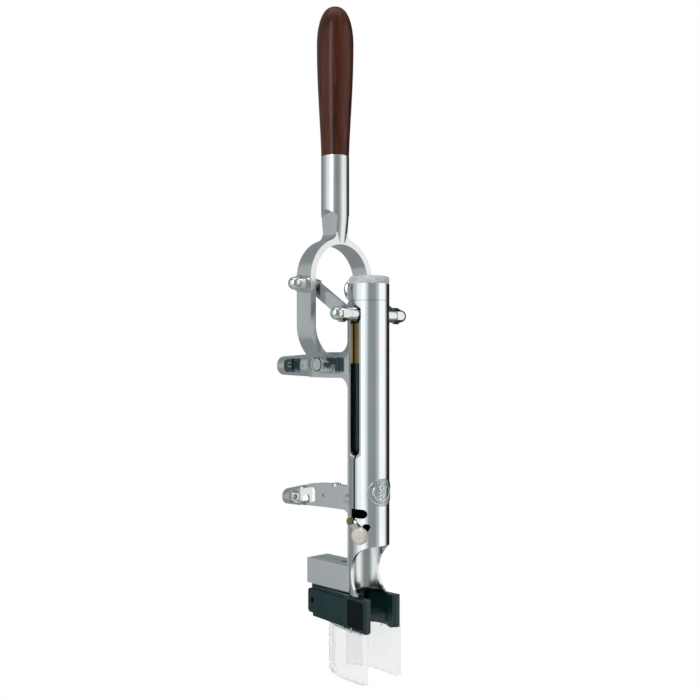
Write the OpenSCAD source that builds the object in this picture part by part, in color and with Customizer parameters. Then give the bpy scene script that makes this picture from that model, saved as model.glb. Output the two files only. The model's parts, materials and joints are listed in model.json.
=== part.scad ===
// Wall-mounted lever corkscrew for a bar. Millimetres, +Z up, +Y into the wall.
// Origin: on the wall face, midway between the two upper wall screws, level with the lever's pivot.
// Most modules are drawn in the tube's own frame: X = Y = 0 on the tube's axis, then moved by at_tube().

/* [Tube] */
// Outer diameter of the tubular housing
tube_d = 36; // [35.5:0.1:36]
// Thickness of the housing's wall
tube_wall = 3; // [2.6:0.1:3.2]
// Distance from the tube's axis to the wall
wall_reach = 116; // [114:1:120]
// Height of the cap's top above the lever's pivot
tube_top = 78; // [77:0.5:79]
// Depth of the housing's lower end below the pivot
tube_bottom = 203.5; // [203:0.1:203.8]
// Reach of the two side slots in front of the tube's axis
slot_front = 5.1; // [5:0.1:5.6]
// Reach of the side slots behind the tube's axis
slot_rear = 6.6; // [5:0.1:6.8]

/* [Cork window] */
// Radius of the round bite that opens the tube's lower front
bite_r = 25.7; // [24:0.1:26]
// Distance of the bite's axis in front of the tube's axis
bite_y = 20.4; // [19:0.1:22]
// Depth of the bite's axis below the pivot
bite_z = 184.3; // [184:0.1:185]

/* [Lever] */
// Distance from the tube's axis back to the lever's pivot
pivot_y = 46; // [45:0.5:47]
// Distance from the pivot to the link bolt
bolt_arm = 72.4; // [72:0.1:73]
// Distance between the two eyes of a link
link_len = 54; // [53.5:0.1:55]
// Outer half width of the oval yoke
yoke_r = 37.5; // [37:0.1:38]
// Thickness of the yoke's band
yoke_band = 6; // [5:0.1:6.4]
// Height of the grip's top above the pivot
lever_top = 330; // [310:1:340]
// Height of the joint between stem and wood above the pivot
grip_base = 191.6; // [185:0.2:196]
// Largest radius of the wooden grip
grip_r = 17; // [15:0.1:18]

/* [Wall arms] */
// Half distance between the two upper wall screws
screw_x = 7; // [6.5:0.1:7.5]
// Radius of the wall screw holes
screw_r = 3; // [2.5:0.1:3.2]
// Depth of the lower wall screw below the upper pair
lower_screw_z = 128.5; // [128:0.1:129]

/* [Worm] */
// Pitch of the worm's helix
worm_pitch = 10; // [8:0.5:12]
// Outer radius of the worm
worm_r = 4.8; // [4.4:0.1:5]
// Radius of the worm's wire
wire_r = 1.5; // [1.2:0.1:1.6]
// Depth of the worm's tip below the pivot at rest
worm_tip = 130; // [120:1:132]

/* [Jaws] */
// Height of the jaws' outer plates
jaw_h = 22; // [20:0.5:23]
// Half distance between the jaws' hinge pins
jaw_pin_x = 7.4; // [7.2:0.1:7.6]
// Distance of the hinge pins behind the tube's axis
jaw_pin_y = 60; // [58:0.5:61]
// Depth of the guards' lower edge below the pivot
guard_bottom = 276.5; // [270:0.5:280]

/* [Hidden] */
$fn = 64;

tube_r = tube_d / 2;
bore_r = tube_r - tube_wall;
sleeve_z = 56;            // joint between the shells and the top sleeve
cap_z = tube_top - 7;     // joint between the top sleeve and the cap
slot_top = 49.6;
flat_x = 16.6;            // flats milled round the side slots
slot_end = -80;           // lowest point of the side slots
rib_w = 8;                // half width of the rear rib
rib_y = 20;               // rear face of the rib
pin_z = bolt_arm - sqrt(link_len * link_len - pivot_y * pivot_y);
pin_r = 4.6;              // cross pin
bolt_r = 4;               // M8 studs
run = 0.05;               // radial clearance of a running fit
slip = 0.2;               // gap between faces that slide past each other
blend = 0.08;             // how far a fillet's arc runs past the faces it joins
ring_in = yoke_r - yoke_band;
arch_z = 78.1;            // centre of the yoke's upper arc
heel_z = 36;              // centre of the yoke's lower arc
band_y = 10;              // half depth of the yoke's band
hub_r = 8.4;
hub_in = 10;
hub_out = 22;
arm_w = 9.6;              // half width of the upper arm between the yoke's hubs
stem_r = 13;
stem_flat = 6.8;          // half width across the stem's flats
pivot_r = 5.6;
link_in = 25;             // inner face of the links
link_out = 29;
link_w = 6.25;            // half width of a link
foot_y = 105;             // front face of the wall plates
driver_r = 4.4;           // way for a driver to the lower wall screw
upper_split = 78.5;       // front ends of the separate feet
lower_split = 88;
top_screw_z = 67;
latch_y = 2.2;            // latch pivot, behind the tube's axis
latch_z = -137.3;
latch_arm = [-12.7, -10.7];   // from the latch pivot to its knob, [y, z]
tooth = [-9.3, -10.7];        // from the latch pivot to its tooth, [y, z]
tooth_r = 1.8;
tooth_arc = norm(tooth);
tooth_rest = atan2(-tooth[1], -tooth[0]);
latch_swing = 32;
arc_r = tooth_r + 0.7;    // half width of the slot that the tooth swings in
collar_r = 6.4;           // collars between the links and the tube
jaw_top = -204.2;
jaw_bottom = -233;
jaw_mid = -218.5;
splay = 3.95;             // angle of the jaw's outer face, opening towards the front
bend_r = 65.1;            // outer radius of a guard's curved part
guard_x = 23;             // outer face of a guard's flat front part
guard_t = 6;
link_tilt = atan2(bolt_arm - pin_z, pivot_y);

// ---------- helpers ----------

module at_tube() translate([0, -wall_reach, 0]) children();

// round bars along an axis, from one coordinate to another
module rod_x(r, a, b) translate([min(a, b), 0, 0]) rotate([0, 90, 0]) cylinder(r = r, h = abs(b - a));
module rod_y(r, a, b) translate([0, a, 0]) rotate([-90, 0, 0]) cylinder(r = r, h = b - a);
module rod_z(r, a, b) translate([0, 0, a]) cylinder(r = r, h = b - a);

// a box given by its two corners
module block(a, b) translate(a) cube(b - a);

// a flat outline in the Y-Z plane, made thick along X
module side_plate(a, b) translate([a, 0, 0]) rotate([90, 0, 90]) linear_extrude(b - a) children();

// a flat outline in the X-Z plane, made thick along Y
module front_plate(a, b) translate([0, b, 0]) rotate([90, 0, 0]) linear_extrude(b - a) children();

module both_sides() {
    children();
    mirror([1, 0, 0]) children();
}

// concave fillets in the corner at p, opening to the right and up, or down
module fillet_right_up(p, r) translate(p) difference() {
    translate([-1, -1]) square(r + 1 - blend);
    translate([r, r]) circle(r + blend);
}

module fillet_right_down(p, r) translate(p) difference() {
    translate([-1, blend - r]) square(r + 1 - blend);
    translate([r, -r]) circle(r + blend);
}

// rounded box outline between two corners
module round_rect(a, b, r) {
    translate([a[0] + r, a[1]]) square([b[0] - a[0] - 2 * r, b[1] - a[1]]);
    translate([a[0], a[1] + r]) square([b[0] - a[0], b[1] - a[1] - 2 * r]);
    for (x = [a[0] + r, b[0] - r], y = [a[1] + r, b[1] - r]) translate([x, y]) circle(r);
}

// M8 dome nut on the +X side: flat face at a
module dome_nut(a) {
    difference() {
        union() {
            translate([a, 0, 0]) rotate([0, 90, 0]) cylinder(r = 7.5, h = 6.5, $fn = 6);
            rod_x(5.8, a + 6, a + 9);
            translate([a + 9, 0, 0]) sphere(5.8);
        }
        rod_x(bolt_r, a - 1, a + 9);
    }
}

// right-handed helical wire along -Z, starting at its own origin and tapering over its last turns
function coil_point(t, a, rc, rw, pitch) =
    [(rc + rw * cos(a)) * cos(360 * t), -(rc + rw * cos(a)) * sin(360 * t), -pitch * t + rw * sin(a)];

module coil(turns, rc, rw, pitch, taper, sides = 8, steps = 12) {
    n = round(turns * steps);
    last = taper * steps;
    function thin(i) = i > n - last ? 1 - 0.85 * (i - n + last) / last : 1;
    points = [for (i = [0:n], j = [0:sides - 1])
        coil_point(i / steps, 360 * j / sides, rc, rw * thin(i), pitch)];
    near = [for (i = [0:n - 1], j = [0:sides - 1])
        [i * sides + j, (i + 1) * sides + j, i * sides + (j + 1) % sides]];
    far = [for (i = [0:n - 1], j = [0:sides - 1])
        [i * sides + (j + 1) % sides, (i + 1) * sides + j, (i + 1) * sides + (j + 1) % sides]];
    ends = [[for (j = [0:sides - 1]) j], [for (j = [sides - 1:-1:0]) n * sides + j]];
    polyhedron(points, concat(near, far, ends), convexity = 10);
}

// ---------- housing ----------

// tube wall over a height range, kept on one side of the seam
module half_tube(a, b, side) intersection() {
    rod_z(tube_r, a, b);
    block([-30, side > 0 ? 0 : -30, a - 1], [30, side > 0 ? 30 : 0, b + 1]);
}

// what both shells are cut by: bore, side slots, cork window, seam grooves, latch openings
module shell_cuts() {
    rod_z(bore_r, -tube_bottom - 1, tube_top + 1);
    side_plate(-30, 30) round_rect([-slot_front, slot_end], [slot_rear, slot_top], 5);
    both_sides() side_plate(flat_x, 30) round_rect([-8, slot_end - 2.4], [8, slot_top + 2.4], 7.4);
    translate([0, -bite_y, -bite_z]) rod_x(bite_r, -30, 30);
    both_sides() block([tube_r - 2, -1, -150], [tube_r + 2, 1, slot_end + 4]);
    latch_window();
}

// openings on the left side: the hook's window and the arc that the tooth swings in
module latch_window() {
    side_plate(-30, -5) {
        translate([-8, -134.5]) square([12, 8]);
        translate([-8, -130.5]) circle(4);
        translate([latch_y, latch_z]) {
            difference() {
                circle(tooth_arc + arc_r - 0.05);
                circle(tooth_arc - arc_r + 0.05);
                rotate(90 + tooth_rest - latch_swing) square([60, 60]);
                rotate(180 + tooth_rest) square([60, 60]);
                rotate(60) square([60, 60]);
                translate([0, -60]) square([60, 120]);
            }
            for (a = [0, latch_swing]) rotate(180 + tooth_rest - a) translate([tooth_arc, 0]) circle(arc_r);
        }
    }
}

// the upper arm's wide rear part, with rounded sides, narrowing towards the wall
module wide_part(a, b) intersection() {
    hull() {
        front_plate(60, 61) round_rect([-14, -11.9], [14, 10.5], 9, $fn = 32);
        front_plate(wall_reach - 1, wall_reach) round_rect([-14, -10], [14, 8.2], 9, $fn = 32);
    }
    block([-20, a, -20], [20, b, 20]);
}

module upper_arm() {
    side_plate(-arm_w, arm_w) difference() {
        polygon([[12, -12], [pivot_y, -12.2], [72, -11.8], [72, 10.3], [pivot_y, 11.3], [12, 11]]);
        translate([pivot_y, 0]) circle(pivot_r + run);
    }
    side_plate(-rib_w, rib_w) {
        fillet_right_up([rib_y - 0.01, 11], 11);
        fillet_right_down([rib_y - 0.01, -12], 11);
    }
    difference() {
        wide_part(60, upper_split);
        translate([0, pivot_y, 0]) rod_x(23.5, -20, 20);
    }
}

// end of the upper arm at the wall, pocketed on both sides of a centre web
module upper_foot() at_tube() color("lightgray") difference() {
    wide_part(upper_split, wall_reach);
    both_sides() side_plate(3, 15) round_rect([80, -7], [foot_y, 5.8], 2.5);
    both_sides() translate([screw_x, 0, 0]) rod_y(screw_r, 90, wall_reach + 1);
}

module lower_arm() difference() {
    union() {
        side_plate(-3, 3) {
            polygon([[12, -132], [50, -132.6], [80, -133.7], [lower_split, -134.2], [lower_split, -115.2],
                     [78, -112.6], [64, -111], [50, -110.4], [12, -110.4]]);
            fillet_right_up([rib_y - 0.01, -110.5], 5);
            fillet_right_down([rib_y - 0.01, -131.9], 14);
        }
        // boss on the arm's top edge
        translate([0, 44, 0]) rod_z(4.2, -112.4, -109.4);
    }
    side_plate(-8, 8) {
        polygon([[71.5, -118.4], [74, -116], [85, -116.8], [lower_split + 1, -118.6],
                 [lower_split + 1, -130], [85, -131], [74, -130.4], [71.5, -128]]);
        translate([59.6, -122]) circle(1.5);
    }
}

// end of the lower arm at the wall, rounded round its one screw, with a pocket on each side
module lower_foot() at_tube() color("lightgray") difference() {
    hull() {
        front_plate(lower_split, lower_split + 1) round_rect([-7.5, -134.4], [7.5, -115.2], 3, $fn = 32);
        front_plate(wall_reach - 1, wall_reach) round_rect([-7.5, -136.1], [7.5, -120.9], 7.3, $fn = 32);
    }
    both_sides() side_plate(1.5, 8) round_rect([90.5, -132.6], [foot_y, -120.6], 2.5);
    translate([0, 0, -lower_screw_z]) {
        rod_y(screw_r, foot_y - 1, wall_reach + 1);
        rod_y(driver_r, lower_split - 1, foot_y);
    }
}

module carrier_block() difference() {
    side_plate(-12.3, 12.3) round_rect([5, -tube_bottom], [71.7, -180], 1.2);
    block([-0.3, 34, -181], [0.3, 73, -179]);
}

module rear_casting() at_tube() color("lightgray") difference() {
    union() {
        half_tube(-tube_bottom, sleeve_z, 1);
        rod_z(tube_r, -tube_bottom, -bite_z);
        block([-rib_w, 0, -tube_bottom], [rib_w, rib_y, sleeve_z]);
        both_sides() translate([7.4, 0, -121]) rod_y(5, 12, 19.4);
        upper_arm();
        lower_arm();
        carrier_block();
    }
    shell_cuts();
    translate([0, pivot_y, 0]) rod_x(pivot_r + run, -20, 20);
    both_sides() side_plate(4, 12) round_rect([23, -7.5], [35.5, 6.5], 2);
    translate([0, 33, 0]) rod_z(2.7, -tube_bottom - 1, -179);
    both_sides() translate([7.4, 0, -121]) rod_y(2, 8, 22);
    translate([0, 0, latch_z]) translate([0, latch_y, 0]) rod_x(1.8, -30, -5);
    both_sides() translate([14, 77, -1]) rod_x(1, -3, 1);
}

module front_shell() at_tube() color("gainsboro") difference() {
    half_tube(-bite_z, sleeve_z, -1);
    shell_cuts();
    block([-30, -0.15, -tube_bottom], [30, 1, sleeve_z + 1]);
}

module top_sleeve() at_tube() color("gainsboro") difference() {
    union() {
        rod_z(tube_r, sleeve_z + 0.3, cap_z);
        block([-rib_w, 0, sleeve_z + 0.3], [rib_w, tube_r + 0.6, cap_z]);
    }
    rod_z(bore_r, sleeve_z - 1, cap_z + 1);
    translate([0, 0, top_screw_z]) rod_y(3, 10, 22);
}

module top_cap() at_tube() color("whitesmoke") rotate_extrude() {
    difference() {
        union() {
            translate([0, cap_z]) square([tube_r - 0.1, 4.6]);
            translate([0, cap_z]) square([tube_r - 2.5, 6.6]);
            translate([tube_r - 2.5, cap_z + 4.6]) intersection() {
                circle(2.4);
                square(3);
            }
            translate([0, cap_z + 6]) square([12, 1]);
            translate([0, cap_z - 6]) square([bore_r - 0.02, 7]);
        }
        translate([0, cap_z - 7]) square([bore_r - 3, 8]);
    }
}

module top_screw() at_tube() color("silver") translate([0, 0, top_screw_z]) {
    rod_y(3, bore_r + 0.1, 19);
    translate([0, 18.7, 0]) rotate([-90, 0, 0]) rotate_extrude() polygon([[0, 0], [10.2, 0], [10.8, 1],
        [10.8, 2.4], [10.2, 3.6], [8.8, 4.4], [0, 4.8]]);
}

// oval badge raised from the tube's front
module medallion() at_tube() color("silver") intersection() {
    difference() {
        rod_z(tube_r + 0.7, -126, -98);
        rod_z(tube_r + 0.02, -127, -97);
    }
    translate([0, 0, -112]) front_plate(-30, 0)
        polygon([for (a = [0:7.5:359]) [14.2 * cos(a), 12.1 * sin(a)]]);
}

module guide_nut() at_tube() color("dimgray") difference() {
    union() {
        rod_z(bore_r - 0.05, -155, -136);
        rod_z(bore_r - 0.05, -125.5, -116.5);
        rod_z(12.5, -136.5, -125);
    }
    rod_z(worm_r + 0.4, -156, -116);
    translate([0, 0, -118.4]) cylinder(r1 = worm_r + 0.4, r2 = worm_r + 3, h = 2.5);
    both_sides() translate([7.4, 0, -121]) rod_y(2, 7, 16);
    latch_window();
}

module guide_screws() at_tube() color("silver") both_sides() translate([7.4, 0, -121]) {
    rod_y(2, 8.5, 20);
    translate([0, 19.4, 0]) rotate([-90, 0, 0]) cylinder(r = 4.2, h = 4, $fn = 6);
}

// fixed black core behind the bottle's neck, which the jaws hinge on
module neck_rest() at_tube() color("darkslategray") difference() {
    union() {
        block([-7.2, 12, -229.5], [7.2, 54, -tube_bottom]);
        block([-10.4, 53, -229.5], [10.4, 67, -tube_bottom]);
    }
    rod_z(bore_r + 0.8, -240, -200);
    block([-13, 53.5, -223], [13, 68, -214]);
    both_sides() translate([jaw_pin_x, jaw_pin_y, 0]) rod_z(2, -230, -200);
    translate([0, 40, jaw_mid]) rod_x(4, -10, 10);
    translate([0, 33, 0]) rod_z(2.2, -214, -200);
}

// soft ring in the tube's mouth that the bottle's rim stops against, open at the front
module neck_seat() at_tube() color("dimgray") difference() {
    rod_z(bore_r - 0.05, -tube_bottom, -201.6);
    rod_z(12.2, -tube_bottom - 1, -200);
    block([-20, -20, -tube_bottom - 1], [20, -5, -199]);
}

module rest_screw() at_tube() color("silver") translate([0, 33, 0]) {
    rod_z(2.2, -213.5, -190);
    rod_z(2.6, -190.5, -184);
}

module jaw_pins() at_tube() color("silver") both_sides() translate([jaw_pin_x, jaw_pin_y, 0])
    rod_z(2, -229.3, -tube_bottom);

module jaw_spring() at_tube() color("silver") translate([-9.6, 40, jaw_mid]) rotate([0, -90, 0])
    coil(8, 2.6, 0.5, 2.4, 0, 6, 12);

// ---------- latch ----------

module latch_pin() at_tube() color("darkgoldenrod") translate([0, latch_y, latch_z]) {
    rod_x(1.8, -22.2, -15.4);
    rod_x(3.2, -22.4, -20.9);
}

module latch_lever() at_tube() color("silver") translate([0, latch_y, latch_z]) {
    difference() {
        union() {
            rod_x(4, -20.6, -18.5);
            translate([0, latch_arm[0], latch_arm[1]]) rod_x(3.5, -20.6, -18.5);
            translate([0, tooth[0], tooth[1]]) rod_x(3.2, -20.6, -18.5);
            side_plate(-20.6, -18.5) rotate(atan2(-latch_arm[1], -latch_arm[0]))
                translate([-norm(latch_arm), -3]) square([norm(latch_arm), 6]);
        }
        rod_x(1.8 + run, -23, -15);
    }
    translate([0, tooth[0], tooth[1]]) rod_x(tooth_r, -18.6, -11.6);
}

module latch_knob() at_tube() color("linen")
    translate([-19.6, latch_y + latch_arm[0] - 0.6, latch_z + latch_arm[1]]) rotate([0, 0, -64 + 90])
    rotate([0, -90, 0]) rotate_extrude()
    polygon([[0, 0.9], [3, 0.9], [3, 2.2], [6.6, 2.2], [7.4, 2.8], [7.4, 5.6], [6.8, 6.4], [5.6, 6.8],
             [0, 7.1]]);

// ---------- lever ----------

module yoke_outline() {
    difference() {
        union() {
            translate([0, arch_z]) circle(yoke_r);
            translate([0, heel_z]) circle(yoke_r);
            translate([-yoke_r, heel_z]) square([2 * yoke_r, arch_z - heel_z]);
        }
        translate([0, arch_z + 0.5]) circle(ring_in);
        translate([0, heel_z]) circle(ring_in);
        translate([-ring_in, heel_z]) square([2 * ring_in, arch_z - heel_z + 0.5]);
        translate([-hub_in, -10]) square([2 * hub_in, 40]);
    }
    stem_foot();
}

// slab under the stem, faired into the top of the arch on both sides
module stem_foot() {
    f = 8;
    cx = stem_flat + f;
    cz = arch_z + sqrt((yoke_r + f) * (yoke_r + f) - cx * cx);
    k = yoke_r / (yoke_r + f);
    for (s = [-1, 1]) difference() {
        polygon([[0, arch_z + 34], [s * cx * k, arch_z + (cz - arch_z) * k], [s * cx, cz],
                 [s * stem_flat, cz], [0, cz]]);
        translate([s * cx, cz]) circle(f);
    }
}

module yoke() at_tube() translate([0, pivot_y, 0]) color("silver") difference() {
    union() {
        front_plate(-band_y, band_y) yoke_outline();
        both_sides() rod_x(hub_r, hub_in, hub_out);
        intersection() {
            union() {
                translate([0, 0, 112]) cylinder(r1 = 10.6, r2 = stem_r, h = 22);
                rod_z(stem_r, 134, grip_base);
            }
            union() {
                block([-stem_flat, -20, 110], [stem_flat, 20, 200]);
                difference() {
                    block([-20, -20, 129], [20, 20, 200]);
                    translate([0, 0, 129]) rod_x(stem_r, -30, 30);
                }
            }
        }
    }
    rod_x(pivot_r, -30, 30);
    both_sides() rod_x(6.6, hub_out - 1, hub_out + 1);
    translate([0, 0, bolt_arm]) rod_x(bolt_r, -50, 50);
    rod_z(bolt_r, 165, grip_base + 1);
    block([-hub_in, -12, -12], [hub_in, 12, 12]);
}

// turned grip: slim at the stem, fullest near the top, round end
function grip_radius(u) = stem_r - 0.1 + (grip_r - stem_r + 0.1) * pow(sin(90 * u), 1.4);

module wood_grip() at_tube() color("saddlebrown") translate([0, pivot_y, 0]) rotate_extrude() {
    full_z = grip_base + (lever_top - grip_base) * 0.78;
    cap_h = lever_top - full_z;
    difference() {
        polygon(concat(
            [[0, grip_base], [stem_r - 0.1, grip_base]],
            [for (i = [1:12]) [grip_radius(i / 12), grip_base + (full_z - grip_base) * i / 12]],
            [for (i = [1:12]) let (a = 90 * i / 12)
                [grip_r * pow(cos(a), 0.85), full_z + cap_h * sin(a)]]));
        translate([-1, grip_base - 1]) square([1 + bolt_r + 0.02, 90]);
    }
}

module grip_tang() at_tube() color("gray") translate([0, pivot_y, 0]) rod_z(bolt_r, 166, grip_base + 88);

module pivot_pin() at_tube() color("darkgray") translate([0, pivot_y, 0])
    rod_x(pivot_r, -hub_out - 0.4, hub_out + 0.4);

module pivot_rings() at_tube() color("gray") translate([0, pivot_y, 0]) both_sides() difference() {
    rod_x(6.4, hub_out - 0.95, hub_out - 0.35);
    rod_x(pivot_r, hub_out - 2, hub_out + 1);
}

module at_bolt() at_tube() translate([0, pivot_y, bolt_arm]) both_sides() children();

module yoke_bolts() color("silver") at_bolt() {
    rod_x(bolt_r, link_in - slip - 1, 47);
    rod_x(5, 20, link_in - slip);
    translate([20.01, 0, 0]) rotate([0, -90, 0]) cylinder(r1 = 5, r2 = 3.6, h = 1.5);
}

module yoke_spacers() color("gray") at_bolt() difference() {
    rod_x(6.2, link_out + slip, ring_in);
    rod_x(bolt_r, 0, 60);
}

module yoke_washers() color("silver") at_bolt() difference() {
    rod_x(8, yoke_r, yoke_r + 1.5);
    rod_x(bolt_r, 0, 60);
}

module yoke_nuts() color("gainsboro") at_bolt() dome_nut(yoke_r + 1.5);

// ---------- links: the upper eyes turn on the yoke's bolts, the lower ones carry the stud ends ----------

module link_bar() at_tube() difference() {
    union() {
        translate([0, pivot_y, bolt_arm]) rod_x(link_w, link_in, link_out);
        translate([0, 0, pin_z]) rod_x(link_w, link_in, link_out);
        side_plate(link_in, link_out) translate([0, pin_z]) rotate(link_tilt)
            translate([0, -link_w + 0.2]) square([link_len, 2 * link_w - 0.4]);
    }
    translate([0, pivot_y, bolt_arm]) rod_x(bolt_r + run, 20, 40);
    translate([0, 0, pin_z]) rod_x(bolt_r, 20, 40);
}

module pin_end() at_tube() translate([0, 0, pin_z]) {
    rod_x(collar_r, tube_r + 0.35, link_in);
    rod_x(bolt_r, link_in - 1, link_out + 9);
}

module pin_nut() at_tube() translate([0, 0, pin_z]) dome_nut(link_out + 0.3);

module left_link() color("silver") mirror([1, 0, 0]) link_bar();
module left_pin_end() color("gainsboro") mirror([1, 0, 0]) pin_end();
module left_pin_nut() color("gainsboro") mirror([1, 0, 0]) pin_nut();
module right_link() color("silver") link_bar();
module right_pin_end() color("gainsboro") pin_end();
module right_pin_nut() color("gainsboro") pin_nut();

// ---------- carriage and worm ----------

module slider() at_tube() color("gray") difference() {
    rod_z(bore_r - 0.5, 36, 54);
    translate([0, 0, pin_z]) rod_x(pin_r, -20, 20);
}

module cross_pin() at_tube() color("silver") translate([0, 0, pin_z])
    rod_x(pin_r, -tube_r + 0.3, tube_r - 0.3);

module brass_sleeve() at_tube() color("goldenrod") difference() {
    rod_z(bore_r - 0.5, 1, 36);
    rod_z(9, 15, 37);
    rod_z(bolt_r + run, 0, 16);
}

module thrust_washer() at_tube() color("darkgoldenrod") rod_z(9, 20.5, 24);

module worm_shank() at_tube() color("silver") {
    rod_z(bolt_r, -12, 16);
    rod_z(8.6, 15.3, 20.2);
}

module worm() at_tube() color("silver") {
    rod_z(2.2, -16, -11.9);
    translate([0, 0, -12.5])
        coil((worm_tip - 12.5 - wire_r) / worm_pitch, worm_r - wire_r, wire_r, worm_pitch, 1);
}

// ---------- jaws ----------

// plan outlines of the right-hand jaw, drawn in the X-Y plane
function outer_x(y) = 14.5 + (67.7 - y) * tan(splay);

module jaw_strip(y0, y1, inset, thick)
    polygon([[outer_x(y0) - inset, y0], [outer_x(y1) - inset, y1],
             [outer_x(y1) - inset - thick, y1], [outer_x(y0) - inset - thick, y0]]);

module jaw_wall(a, b) translate([0, 0, a]) linear_extrude(b - a) children();

module jaw() at_tube() difference() {
    union() {
        // outer plate with rounded rear corners
        intersection() {
            jaw_wall(jaw_mid - jaw_h / 2, jaw_mid + jaw_h / 2) jaw_strip(12, 67.7, 0, 3);
            side_plate(0, 40) round_rect([0, jaw_mid - jaw_h / 2], [67.7, jaw_mid + jaw_h / 2], 3);
        }
        jaw_wall(jaw_bottom, jaw_top) jaw_strip(12, 62, 1.4, 2.4);
        // front pad, hollowed to the neck
        difference() {
            jaw_wall(jaw_bottom, jaw_top) jaw_strip(-17.9, 14, 0, 7);
            rod_z(16.6, -250, -200);
            jaw_wall(-250, -200) polygon([[0, -16], [15.4, -16], [17.6, -20], [0, -20]]);
        }
        // knuckle on the hinge pin
        translate([jaw_pin_x, jaw_pin_y, 0]) rod_z(4.4, -222.8, -214.2);
        block([jaw_pin_x, 56.5, -222.8], [outer_x(60) - 2, 63.5, -214.2]);
    }
    translate([jaw_pin_x, jaw_pin_y, 0]) rod_z(2 + run, -230, -200);
    translate([0, 61, -218]) rod_x(2.5, 12.4, 25);
    // shallow panel on the outside of the pad, parallel to its face
    translate([outer_x(-2.5), -2.5, jaw_mid - 0.3]) rotate([0, 0, splay]) side_plate(-1, 3)
        round_rect([-11, -12], [11, 12], 3);
    guard_screw_lines();
}

// the two vertical screws that hold a guard up against its jaw
module guard_screw_lines() for (y = [-9, 3]) translate([18.4, y, 0]) rod_z(0.9, -235.4, -231.2);

// clear curved plate hanging under a jaw
module guard_plan() intersection() {
    difference() {
        union() {
            translate([guard_x - bend_r, 5]) circle(bend_r, $fn = 128);
            translate([0, -17]) square([guard_x, 22]);
        }
        translate([guard_x - bend_r, 5]) circle(bend_r - guard_t, $fn = 128);
        translate([-40, -18]) square([40 + guard_x - guard_t, 23]);
    }
    translate([8, -17]) square([30, 57]);
}

module guard() at_tube() difference() {
    jaw_wall(-guard_bottom, jaw_bottom - 0.05) guard_plan();
    guard_screw_lines();
}

module guard_screw_pair() at_tube() guard_screw_lines();

module left_jaw() color("darkslategray") mirror([1, 0, 0]) jaw();
module right_jaw() color("darkslategray") jaw();
module left_guard() color("aliceblue", 0.4) mirror([1, 0, 0]) guard();
module right_guard() color("aliceblue", 0.4) guard();
module left_guard_screws() color("gray") mirror([1, 0, 0]) guard_screw_pair();
module right_guard_screws() color("gray") guard_screw_pair();

rear_casting();
upper_foot();
lower_foot();
front_shell();
top_sleeve();
top_cap();
top_screw();
medallion();
guide_nut();
guide_screws();
neck_rest();
neck_seat();
rest_screw();
jaw_pins();
jaw_spring();
latch_pin();
latch_lever();
latch_knob();
yoke();
wood_grip();
grip_tang();
pivot_pin();
pivot_rings();
yoke_bolts();
yoke_spacers();
yoke_washers();
yoke_nuts();
left_link();
left_pin_end();
left_pin_nut();
right_link();
right_pin_end();
right_pin_nut();
slider();
cross_pin();
brass_sleeve();
thrust_washer();
worm();
worm_shank();
left_jaw();
left_guard();
left_guard_screws();
right_jaw();
right_guard();
right_guard_screws();
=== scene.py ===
"""Looks for the wall-mounted lever corkscrew: materials, grip, badge, jaw inlays, light and camera."""
import json
import math

import bmesh
import bpy
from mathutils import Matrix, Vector

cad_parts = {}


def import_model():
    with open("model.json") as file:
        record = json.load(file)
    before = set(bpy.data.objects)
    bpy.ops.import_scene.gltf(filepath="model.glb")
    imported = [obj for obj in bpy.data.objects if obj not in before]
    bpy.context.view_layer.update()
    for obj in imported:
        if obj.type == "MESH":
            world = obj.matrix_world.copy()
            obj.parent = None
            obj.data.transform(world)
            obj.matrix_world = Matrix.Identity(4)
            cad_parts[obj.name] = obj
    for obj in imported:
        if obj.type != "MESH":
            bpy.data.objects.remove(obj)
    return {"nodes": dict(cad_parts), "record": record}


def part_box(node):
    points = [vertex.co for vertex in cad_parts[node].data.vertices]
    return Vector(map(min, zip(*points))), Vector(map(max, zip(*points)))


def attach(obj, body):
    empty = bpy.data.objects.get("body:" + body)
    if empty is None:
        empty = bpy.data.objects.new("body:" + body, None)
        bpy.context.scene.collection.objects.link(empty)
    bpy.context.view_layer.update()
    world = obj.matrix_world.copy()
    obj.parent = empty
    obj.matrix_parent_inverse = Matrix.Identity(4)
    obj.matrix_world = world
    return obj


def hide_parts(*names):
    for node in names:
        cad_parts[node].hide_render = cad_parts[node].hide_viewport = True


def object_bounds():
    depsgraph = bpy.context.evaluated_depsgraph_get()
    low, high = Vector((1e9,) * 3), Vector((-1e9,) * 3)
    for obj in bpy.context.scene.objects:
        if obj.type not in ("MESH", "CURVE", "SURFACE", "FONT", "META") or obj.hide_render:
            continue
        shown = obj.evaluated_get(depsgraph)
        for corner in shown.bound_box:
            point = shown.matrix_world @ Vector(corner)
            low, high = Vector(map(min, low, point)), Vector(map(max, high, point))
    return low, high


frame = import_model()
cad_low, cad_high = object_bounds()
nodes = frame["nodes"]

TAU = 2 * math.pi
MM = 0.001
FAR = 1.0             # metres, past everything in the frame

shell_low, shell_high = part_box("front_shell")
TUBE_R = (shell_high.x - shell_low.x) / 2
TUBE_Y = shell_low.y + TUBE_R
BORE_R = TUBE_R - 3 * MM
GUIDE_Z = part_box("guide_nut")[0].z
SEAM_HALF = 1.1 * MM
WEB_HALF = 4.2 * MM   # reach of the pockets' floors from the middle of the upper arm
ARM_HALF_H = 13 * MM
ARM_START = 20 * MM   # where the upper arm starts behind the tube's axis
JAW_SPLAY = 3.95      # degrees that a jaw's outer face leans out towards the front


# ---------------------------------------------------------------- node helpers

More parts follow.
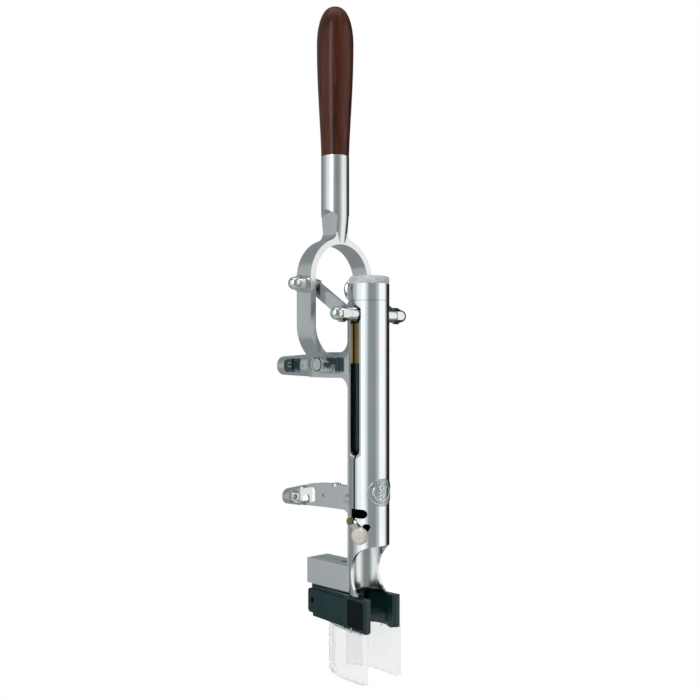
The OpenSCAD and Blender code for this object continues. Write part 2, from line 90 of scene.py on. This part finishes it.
class Shader:
    """A material with one Principled shader and short calls for the nodes that feed it."""

    def __init__(self, name):
        self.mat = bpy.data.materials.new(name)
        self.mat.use_nodes = True
        self.tree = self.mat.node_tree
        self.bsdf = self.tree.nodes["Principled BSDF"]

    def link(self, out, into):
        self.tree.links.new(out, into)

    def set(self, **values):
        """Values on the shader's own sockets, named with underscores for spaces."""
        for key, value in values.items():
            self.bsdf.inputs[key.replace("_", " ")].default_value = value

    def where(self, scale=(1, 1, 1)):
        """Row-frame position in metres, stretched by scale."""
        coord = self.tree.nodes.new("ShaderNodeTexCoord")
        mapping = self.tree.nodes.new("ShaderNodeMapping")
        mapping.inputs["Scale"].default_value = scale
        self.link(coord.outputs["Object"], mapping.inputs["Vector"])
        return mapping.outputs["Vector"]

    def noise(self, where, scale, detail=3.0, roughness=0.5, distortion=0.0):
        n = self.tree.nodes.new("ShaderNodeTexNoise")
        n.inputs["Scale"].default_value = scale
        n.inputs["Detail"].default_value = detail
        n.inputs["Roughness"].default_value = roughness
        n.inputs["Distortion"].default_value = distortion
        self.link(where, n.inputs["Vector"])
        return n.outputs["Fac"]

    def spread(self, value, low, high, start=0.3, end=0.7):
        """Maps start..end of value to low..high."""
        n = self.tree.nodes.new("ShaderNodeMapRange")
        for key, number in (("From Min", start), ("From Max", end), ("To Min", low), ("To Max", high)):
            n.inputs[key].default_value = number
        self.link(value, n.inputs["Value"])
        return n.outputs["Result"]

    def ramp(self, value, *stops):
        n = self.tree.nodes.new("ShaderNodeValToRGB")
        ramp = n.color_ramp
        while len(ramp.elements) < len(stops):
            ramp.elements.new(0.5)
        for element, (place, colour) in zip(ramp.elements, stops):
            element.position = place
            element.color = (*colour, 1)
        self.link(value, n.inputs["Fac"])
        return n.outputs["Color"]

    def blend(self, fac, a, b):
        n = self.tree.nodes.new("ShaderNodeMix")
        n.data_type = "RGBA"
        for socket, value in ((n.inputs[0], fac), (n.inputs[6], a), (n.inputs[7], b)):
            if isinstance(value, bpy.types.NodeSocket):
                self.link(value, socket)
            else:
                socket.default_value = value if isinstance(value, float) else (*value, 1)
        return n.outputs[2]

    def bump(self, height, distance, strength=1.0):
        n = self.tree.nodes.new("ShaderNodeBump")
        n.inputs["Distance"].default_value = distance
        n.inputs["Strength"].default_value = strength
        self.link(height, n.inputs["Height"])
        return n.outputs["Normal"]

    def math(self, operation, a, b):
        n = self.tree.nodes.new("ShaderNodeMath")
        n.operation = operation
        for socket, value in zip(n.inputs, (a, b)):
            if isinstance(value, bpy.types.NodeSocket):
                self.link(value, socket)
            else:
                socket.default_value = value
        return n.outputs[0]

    def within(self, value, low, high, soft=0.2 * MM):
        """1 where value lies between low and high, fading to 0 over soft outside them."""
        above = self.spread(value, 0.0, 1.0, low - soft, low)
        below = self.spread(value, 1.0, 0.0, high, high + soft)
        return self.math("MULTIPLY", above, below)

    def painted_shade_masks(self):
        """Two masks, 1 where they hold: painted shade in the tube's bore, and painted shade in a thin band
        at the tube's middle plane and in the arm's pockets.
        """
        xyz = self.tree.nodes.new("ShaderNodeSeparateXYZ")
        self.link(self.where(), xyz.inputs[0])
        x, y, z = xyz.outputs
        aside = self.math("ABSOLUTE", x, 0.0)
        back = self.math("SUBTRACT", y, TUBE_Y)
        square = self.math("ADD", self.math("MULTIPLY", x, x), self.math("MULTIPLY", back, back))
        radius = self.math("SQRT", square, 0.0)
        # painted shade: the bore mask covers the inside of the tube above the guide nut
        bore = self.math("MULTIPLY", self.within(radius, 0.0, BORE_R + 0.2 * MM),
                         self.within(z, GUIDE_Z, FAR, 3 * MM))
        # painted shade: a thin band at the tube's middle plane, and below it the upper arm's pockets, which
        # are given a painted dark reflection
        seam = self.math("MULTIPLY", self.within(radius, 0.0, TUBE_R - 1 * MM),
                         self.within(self.math("ABSOLUTE", back, 0.0), 0.0, SEAM_HALF))
        pocket = self.math("MULTIPLY", self.within(aside, 0.0, WEB_HALF),
                           self.within(z, -ARM_HALF_H, ARM_HALF_H))
        pocket = self.math("MULTIPLY", pocket, self.within(back, ARM_START, FAR))
        return bore, self.math("MAXIMUM", seam, pocket)

    def feed(self, **sockets):
        for key, out in sockets.items():
            self.link(out, self.bsdf.inputs[key.replace("_", " ")])


def metal(name, dark, light, rough, wave=140.0, stretch=(1, 1, 1), dent=4e-6, bore=False):
    """Plated or bare metal: cloudy colour, roughness in a band, faint waves, and, with bore set, painted
    shade in the tube's bore, its middle band and the arm's pockets.
    """
    s = Shader(name)
    s.set(Metallic=1.0)
    cloud = s.noise(s.where(), 28.0, 4.0)
    colour = s.ramp(cloud, (0.3, dark), (0.7, light))
    if bore:
        bore_shade, shaded = s.painted_shade_masks()
        # painted shade and painted dark reflection: dark teal in the thin middle band and the arm's pockets
        colour = s.blend(shaded, colour, (0.13, 0.19, 0.20))
        # painted shade: the tube's bore above the guide nut goes nearly black
        colour = s.blend(bore_shade, colour, (0.030, 0.050, 0.048))
    smear = s.noise(s.where(stretch), 60.0, 5.0, 0.6)
    s.feed(Base_Color=colour, Roughness=s.spread(smear, *rough))
    s.feed(Normal=s.bump(s.noise(s.where(stretch), wave, 2.0), dent))
    return s.mat


def satin_chrome():
    return metal("satin_chrome", (0.70, 0.705, 0.71), (0.76, 0.765, 0.77), (0.16, 0.24),
                 wave=60.0, stretch=(1, 1, 0.5), dent=2e-6, bore=True)


def polished_chrome():
    return metal("polished_chrome", (0.80, 0.82, 0.84), (0.87, 0.88, 0.89), (0.10, 0.15),
                 wave=60.0, stretch=(1, 1, 0.12), dent=3e-6, bore=True)


def embossed_metal():
    return metal("embossed_metal", (0.46, 0.49, 0.50), (0.70, 0.72, 0.72), (0.14, 0.24))


def plated_steel():
    return metal("plated_steel", (0.68, 0.70, 0.69), (0.78, 0.79, 0.78), (0.09, 0.18))


# painted shade: the worm's steel is much darker than bare steel, for the worm deep inside the tube
def worm_steel():
    return metal("worm_steel", (0.13, 0.14, 0.14), (0.24, 0.25, 0.25), (0.18, 0.32))


def dark_steel():
    return metal("dark_steel", (0.022, 0.030, 0.030), (0.050, 0.062, 0.062), (0.30, 0.45))


def brass():
    return metal("brass", (0.24, 0.165, 0.070), (0.36, 0.26, 0.125), (0.24, 0.38),
                 wave=300.0, stretch=(1, 1, 0.06), dent=6e-6)


def frosted_cap():
    s = Shader("frosted_cap")
    s.set(Metallic=0.0, IOR=1.5, Subsurface_Weight=0.1, Subsurface_Scale=0.002)
    fleck = s.noise(s.where(), 950.0, 2.0)
    cloud = s.noise(s.where(), 90.0, 3.0)
    mixed = s.blend(0.5, fleck, cloud)
    s.feed(Base_Color=s.ramp(mixed, (0.38, (0.40, 0.42, 0.43)), (0.60, (0.86, 0.87, 0.87))))
    s.feed(Roughness=s.spread(fleck, 0.32, 0.55), Normal=s.bump(fleck, 5e-5, 0.6))
    return s.mat


def varnished_wood():
    """Dark red hardwood: long figure, fine pores along the grain, and a clear varnish."""
    s = Shader("varnished_wood")
    s.set(Coat_Weight=0.42, Coat_Roughness=0.10, Coat_IOR=1.42, IOR=1.48, Specular_IOR_Level=0.12)
    figure = s.noise(s.where((1, 1, 0.09)), 150.0, 5.0, 0.55, 0.8)
    streak = s.noise(s.where((1, 1, 0.03)), 620.0, 4.0, 0.6)
    pores = s.noise(s.where((1, 1, 0.045)), 1900.0, 2.0, 0.5)
    ground = s.ramp(figure, (0.28, (0.026, 0.0050, 0.0025)), (0.46, (0.076, 0.0145, 0.0055)),
                    (0.58, (0.125, 0.0260, 0.0090)), (0.74, (0.042, 0.0080, 0.0034)))
    lined = s.blend(s.spread(streak, 0.0, 0.6, 0.45, 0.72), ground, (0.030, 0.0080, 0.0055))
    s.feed(Base_Color=s.blend(s.spread(pores, 0.0, 0.8, 0.60, 0.70), lined, (0.012, 0.004, 0.003)))
    s.feed(Roughness=s.spread(streak, 0.30, 0.48), Normal=s.bump(pores, 2e-5, 0.4))
    return s.mat


def black_plastic():
    s = Shader("black_plastic")
    s.set(Metallic=0.0, IOR=1.5, Specular_IOR_Level=0.35)
    grain = s.noise(s.where(), 1300.0, 2.0)
    wipe = s.noise(s.where(), 45.0, 4.0, 0.6)
    s.feed(Base_Color=s.ramp(wipe, (0.3, (0.003, 0.022, 0.024)), (0.7, (0.006, 0.030, 0.033))))
    s.feed(Roughness=s.spread(wipe, 0.16, 0.26), Normal=s.bump(grain, 1e-5, 0.4))
    return s.mat


def black_rubber():
    s = Shader("black_rubber")
    s.set(Metallic=0.0, IOR=1.45, Specular_IOR_Level=0.12)
    grain = s.noise(s.where(), 1500.0, 3.0)
    s.feed(Base_Color=s.ramp(grain, (0.3, (0.0015, 0.004, 0.0045)), (0.7, (0.004, 0.007, 0.0075))))
    s.feed(Roughness=s.spread(grain, 0.34, 0.48), Normal=s.bump(grain, 2e-5, 0.5))
    return s.mat


def clear_plastic():
    s = Shader("clear_plastic")
    s.set(Metallic=0.0, IOR=1.13, Transmission_Weight=0.88)
    haze = s.noise(s.where(), 30.0, 2.0)
    flow = s.noise(s.where((1, 1, 0.25)), 24.0, 1.0)
    s.feed(Base_Color=s.ramp(haze, (0.3, (0.905, 0.91, 0.912)), (0.7, (0.925, 0.93, 0.93))))
    s.feed(Roughness=s.spread(haze, 0.01, 0.03), Normal=s.bump(flow, 1e-6, 0.2))
    return s.mat


def pearl_knob():
    s = Shader("pearl_knob")
    s.set(Metallic=0.35, IOR=1.5, Coat_Weight=0.4, Coat_Roughness=0.15)
    cloud = s.noise(s.where(), 160.0, 4.0, 0.6)
    fine = s.noise(s.where(), 1400.0, 2.0)
    s.feed(Base_Color=s.ramp(cloud, (0.3, (0.60, 0.53, 0.46)), (0.7, (0.76, 0.70, 0.63))))
    s.feed(Roughness=s.spread(cloud, 0.24, 0.40), Normal=s.bump(fine, 2e-5, 0.5))
    return s.mat


MAKERS = (satin_chrome, polished_chrome, embossed_metal, plated_steel, worm_steel, dark_steel, brass,
          frosted_cap, varnished_wood, black_plastic, black_rubber, clear_plastic, pearl_knob)
materials = {maker.__name__: maker() for maker in MAKERS}


def dress(obj, slot):
    obj.data.materials.clear()
    obj.data.materials.append(materials[slot])


for part in frame["record"]["subparts"]:
    dress(nodes[part["node"]], part["material_slot"])


# ---------------------------------------------------------------- edges of the CAD parts

# node: radius of its broken edges, in millimetres
EDGES = {
    "rear_casting": 0.5, "upper_foot": 0.5, "lower_foot": 0.4, "front_shell": 0.35, "top_sleeve": 0.3,
    "yoke": 0.6, "neck_rest": 0.4, "left_jaw": 0.9, "right_jaw": 0.9, "left_guard": 0.5, "right_guard": 0.5,
    "left_link": 0.5, "right_link": 0.5, "yoke_nuts": 0.35, "left_pin_nut": 0.35,
    "right_pin_nut": 0.35, "yoke_washers": 0.25, "latch_lever": 0.3, "guide_screws": 0.3,
    "guide_nut": 0.3, "slider": 0.3, "brass_sleeve": 0.3, "left_pin_end": 0.3, "right_pin_end": 0.3,
    "pivot_pin": 0.3, "yoke_bolts": 0.3, "latch_pin": 0.2, "cross_pin": 0.3,
}


def break_edges(obj, radius):
    bevel = obj.modifiers.new("edges", "BEVEL")
    bevel.width = radius * MM
    bevel.segments = 2
    bevel.limit_method = "ANGLE"
    bevel.angle_limit = math.radians(38)
    bevel.harden_normals = False
    bevel.use_clamp_overlap = True


for name, radius in EDGES.items():
    break_edges(nodes[name], radius)


# ---------------------------------------------------------------- new pieces

def new_piece(name, verts, faces, slot):
    mesh = bpy.data.meshes.new(name)
    mesh.from_pydata(verts, [], faces)
    mesh.validate()
    bm = bmesh.new()
    bm.from_mesh(mesh)
    bmesh.ops.recalc_face_normals(bm, faces=bm.faces)
    bm.to_mesh(mesh)
    bm.free()
    for poly in mesh.polygons:
        poly.use_smooth = True
    obj = bpy.data.objects.new(name, mesh)
    bpy.context.scene.collection.objects.link(obj)
    obj.data.materials.append(materials[slot])
    return obj


def lathe(name, centre, profile, slot, turns=96):
    """A closed solid of revolution about a vertical axis, from (radius, z) points, bottom to top."""
    verts = [(centre[0], centre[1], profile[0][1])]
    for r, z in profile:
        verts += [(centre[0] + r * math.cos(TAU * i / turns), centre[1] + r * math.sin(TAU * i / turns), z)
                  for i in range(turns)]
    verts.append((centre[0], centre[1], profile[-1][1]))
    faces = [(0, 1 + (i + 1) % turns, 1 + i) for i in range(turns)]
    for k in range(len(profile) - 1):
        a, b = 1 + k * turns, 1 + (k + 1) * turns
        faces += [(a + i, a + (i + 1) % turns, b + (i + 1) % turns, b + i) for i in range(turns)]
    last = 1 + (len(profile) - 1) * turns
    faces += [(last + i, last + (i + 1) % turns, len(verts) - 1) for i in range(turns)]
    return new_piece(name, verts, faces, slot)


def turned_grip():
    """The wooden grip as one smooth turning over the CAD grip's own box."""
    low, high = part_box("wood_grip")
    centre = ((low.x + high.x) / 2, (low.y + high.y) / 2)
    full = (high.x - low.x) / 2
    base = 12.9 * MM      # radius at the stem
    rim = 0.6 * MM        # rounding of the lower edge
    length = high.z - low.z
    swell = 0.75          # height of the fullest place, as a part of the length
    rows, cap_rows = 60, 40
    profile = [(base - rim, low.z), (base - rim / 4, low.z + rim / 4), (base, low.z + rim)]
    for i in range(1, rows):
        u = i / rows
        profile.append((base + (full - base) * math.sin(TAU / 4 * u) ** 1.4,
                        low.z + length * swell * u))
    for i in range(cap_rows):
        a = TAU / 4 * i / cap_rows
        profile.append((full * math.cos(a) ** 0.75, low.z + length * (swell + (1 - swell) * math.sin(a))))
    profile.append((0.25 * MM, high.z))
    grip = lathe("turned_grip", centre, profile, "varnished_wood")
    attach(grip, "lever")
    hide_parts("wood_grip")


def smooth_step(x, a, b):
    t = min(1.0, max(0.0, (x - a) / (b - a)))
    return t * t * (3 - 2 * t)


def badge_height(r, angle):
    """Height of the relief, 0 to 1, at r from 0 (middle) to 1 (rim): two rims, beads and a rosette."""
    outer = smooth_step(r, 0.86, 0.90) * (1 - smooth_step(r, 0.96, 1.0))
    inner = smooth_step(r, 0.58, 0.61) * (1 - smooth_step(r, 0.66, 0.69))
    bead = 0.0
    if 0.69 < r < 0.86:
        across = 1 - abs(r - 0.775) / 0.085
        bead = 0.75 * max(0.0, math.cos(angle * 30)) * smooth_step(across, 0.0, 0.8)
    petal = 0.0
    if r < 0.58:
        edge = 0.16 + 0.38 * abs(math.cos(angle * 4)) ** 0.6
        petal = 0.9 * (1 - smooth_step(r, edge - 0.07, edge)) * smooth_step(r, 0.10, 0.16)
        petal = max(petal, 1 - smooth_step(r, 0.07, 0.11))
    return max(outer, inner, bead, petal)


def embossed_badge():
    """Oval badge with a plain rosette, bent round the tube's front."""
    low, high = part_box("medallion")
    mid_z = (low.z + high.z) / 2
    half_z = (high.z - low.z) / 2
    half_angle = math.asin(min(1.0, (high.x - low.x) / 2 / (TUBE_R + 0.35 * MM)))
    rings, spokes = 44, 180
    sunk, ground, relief = 0.4 * MM, 0.12 * MM, 0.55 * MM
    verts, faces = [], []
    for layer in (0, 1):
        for i in range(rings + 1):
            r = i / rings
            for j in range(spokes):
                a = TAU * j / spokes
                lift = TUBE_R + (ground + relief * badge_height(r, a) if layer else -sunk)
                turn = half_angle * r * math.cos(a)
                verts.append((lift * math.sin(turn), TUBE_Y - lift * math.cos(turn),
                              mid_z + half_z * r * math.sin(a)))
    top = (rings + 1) * spokes
    for i in range(rings):
        for j in range(spokes):
            k = (j + 1) % spokes
            quad = (i * spokes + j, i * spokes + k, (i + 1) * spokes + k, (i + 1) * spokes + j)
            faces.append(tuple(v + top for v in quad))
            faces.append(quad[::-1])
    for j in range(spokes):
        k = (j + 1) % spokes
        rim = rings * spokes
        faces.append((rim + j, rim + k, top + rim + k, top + rim + j))
    badge = new_piece("embossed_badge", verts, faces, "embossed_metal")
    bm = bmesh.new()
    bm.from_mesh(badge.data)
    bmesh.ops.remove_doubles(bm, verts=bm.verts, dist=1e-7)
    bmesh.ops.recalc_face_normals(bm, faces=bm.faces)
    bm.to_mesh(badge.data)
    bm.free()
    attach(badge, "housing")
    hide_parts("medallion")


def jaw_inlay(side, name):
    """Thin dark pad laid in the shallow panel on a jaw's outer face; side is -1 or 1."""
    low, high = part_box(f"{name}_jaw")
    outer = max(abs(low.x), abs(high.x))
    lean = math.radians(JAW_SPLAY)
    from_front = 15.4 * MM
    mid_y = low.y + from_front
    mid_z = (low.z + high.z) / 2 - 0.2 * MM
    face = outer - from_front * math.tan(lean)
    half_w, half_h, corner = 10.7 * MM, 11.7 * MM, 2.8 * MM
    steps = 8
    outline = []
    for k, (sx, sz) in enumerate(((1, 1), (-1, 1), (-1, -1), (1, -1))):
        for i in range(steps + 1):
            a = TAU / 4 * (k + i / steps)
            outline.append((sx * (half_w - corner) + corner * math.cos(a),
                            sz * (half_h - corner) + corner * math.sin(a)))
    # layers from under the panel's floor to the broken outer edge: distance from the jaw's face, size
    verts = []
    for out, shrink in ((-1.2 * MM, 1.0), (-0.5 * MM, 1.0), (-0.3 * MM, 0.98)):
        for w, h in outline:
            x = face + out * math.cos(lean) - w * shrink * math.sin(lean)
            y = mid_y + w * shrink * math.cos(lean) + out * math.sin(lean)
            verts.append((side * x, y, mid_z + h * shrink))
    n = len(outline)
    faces = [tuple(range(n)), tuple(range(3 * n - 1, 2 * n - 1, -1))]
    for layer in (0, n):
        faces += [(layer + i, layer + (i + 1) % n, layer + n + (i + 1) % n, layer + n + i) for i in range(n)]
    inlay = new_piece(f"{name}_jaw_inlay", verts, faces, "black_rubber")
    for poly in inlay.data.polygons:
        poly.use_smooth = len(poly.vertices) == 4
    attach(inlay, "jaw_" + name[0])


turned_grip()
embossed_badge()
jaw_inlay(-1, "left")
jaw_inlay(1, "right")


# ---------------------------------------------------------------- camera, light and floor

AZIMUTH = math.radians(42)
FORWARD = Vector((math.sin(AZIMUTH), math.cos(AZIMUTH), 0))
RIGHT = Vector((math.cos(AZIMUTH), -math.sin(AZIMUTH), 0))
UP = Vector((0, 0, 1))
EYE = Vector((-0.574, -0.728, -0.0014))
SUBJECT = Vector((0, -0.10, 0.03))
WALL_HEIGHT = 1.7


def camera():
    data = bpy.data.cameras.new("camera")
    data.sensor_width = 36
    data.lens = 48.55
    data.shift_y = 0.0229
    data.clip_start = 0.01
    obj = bpy.data.objects.new("camera", data)
    obj.location = EYE
    obj.rotation_euler = FORWARD.to_track_quat("-Z", "Y").to_euler()
    bpy.context.scene.collection.objects.link(obj)
    bpy.context.scene.camera = obj


def around(angle, distance, up=0.0):
    """A point in the room, by its angle to the right of the viewer as the subject sees it."""
    turn = math.radians(angle)
    return SUBJECT + (RIGHT * math.sin(turn) - FORWARD * math.cos(turn)) * distance + UP * up


def softbox(name, where, size, glow, colour=(1, 1, 1)):
    """A rectangular light that faces the subject; glow is how bright it looks, 1 for paper white."""
    data = bpy.data.lights.new(name, "AREA")
    data.shape = "RECTANGLE"
    data.size, data.size_y = size
    data.energy = math.pi * size[0] * size[1] * glow
    data.color = colour
    obj = bpy.data.objects.new(name, data)
    obj.location = where
    obj.rotation_euler = (SUBJECT - where).to_track_quat("-Z", "Y").to_euler()
    bpy.context.scene.collection.objects.link(obj)


def soft_wall(name, distance, colour, *layers):
    """Softboxes that overlap, each (from angle, to angle, glow), so that the edges fade in steps."""
    for i, (start, end, glow) in enumerate(layers):
        half = math.radians(end - start) / 2
        width = 2 * distance * math.tan(half)
        softbox(f"{name}_{i}", around((start + end) / 2, distance, 0.1), (width, WALL_HEIGHT), glow, colour)


def plain(name, colour, roughness):
    """A matt, nearly even colour for the floor and the card."""
    s = Shader(name)
    s.set(Roughness=roughness)
    shade = tuple(c * 0.99 for c in colour)
    s.feed(Base_Color=s.ramp(s.noise(s.where(), 3.0), (0.3, colour), (0.7, shade)))
    return s.mat


def sheet(name, corners, mat):
    mesh = bpy.data.meshes.new(name)
    mesh.from_pydata([tuple(c) for c in corners], [], [(0, 1, 2, 3)])
    mesh.materials.append(mat)
    obj = bpy.data.objects.new(name, mesh)
    bpy.context.scene.collection.objects.link(obj)
    return obj


def floor():
    """A pale square below the object, out of the main picture."""
    depth = cad_low.z - 0.45
    half = 0.75
    square = ((-half, -half), (half, -half), (half, half), (-half, half))
    corners = [(x, SUBJECT.y + y, depth) for x, y in square]
    sheet("floor", corners, plain("floor", (0.86,) * 3, 0.7))


def dark_card(name, angle, distance, half_width, half_height):
    """A black card that is seen in reflections only."""
    mid = around(angle, distance)
    side = (SUBJECT - mid).cross(UP).normalized() * half_width
    tall = UP * half_height
    card = sheet(name, [mid - side - tall, mid + side - tall, mid + side + tall, mid - side + tall],
                 plain(name, (0.01,) * 3, 0.9))
    card.visible_camera = False
    card.visible_diffuse = False
    card.visible_shadow = False
    card.visible_transmission = False


def world():
    """White behind the object, a quieter cool grey in what the metal reflects."""
    scene_world = bpy.data.worlds.new("studio")
    bpy.context.scene.world = scene_world
    scene_world.use_nodes = True
    tree = scene_world.node_tree
    tree.nodes.clear()
    out = tree.nodes.new("ShaderNodeOutputWorld")
    seen = tree.nodes.new("ShaderNodeBackground")
    seen.inputs["Color"].default_value = (1, 1, 1, 1)
    lit = tree.nodes.new("ShaderNodeBackground")
    lit.inputs["Color"].default_value = (0.27, 0.305, 0.315, 1)
    path = tree.nodes.new("ShaderNodeLightPath")
    either = tree.nodes.new("ShaderNodeMath")
    either.operation = "MAXIMUM"
    tree.links.new(path.outputs["Is Camera Ray"], either.inputs[0])
    tree.links.new(path.outputs["Is Transmission Ray"], either.inputs[1])
    mix = tree.nodes.new("ShaderNodeMixShader")
    tree.links.new(either.outputs[0], mix.inputs["Fac"])
    tree.links.new(lit.outputs[0], mix.inputs[1])
    tree.links.new(seen.outputs[0], mix.inputs[2])
    tree.links.new(mix.outputs[0], out.inputs["Surface"])


camera()
world()
floor()
soft_wall("left", 1.1, (0.985, 0.995, 1.0), (-106, -5, 0.22), (-80, -11, 0.24), (-70, -19, 0.24),
          (-46, -28, 0.16), (-40, -34, 0.25))
softbox("grip_strip", around(-30, 1.1, 0.66), (0.30, 0.95), 3.2)
soft_wall("right", 1.0, (1.0, 0.975, 0.93), (35, 110, 0.14), (46, 106, 0.22), (56, 101, 0.26),
          (67, 96, 0.20), (62, 66, 0.5))
softbox("top_box", around(-20, 0.15, 1.3), (1.2, 0.8), 1.0)
dark_card("card_right", 140, 0.9, 0.42, 1.0)
bpy.context.scene.view_settings.view_transform = "Standard"
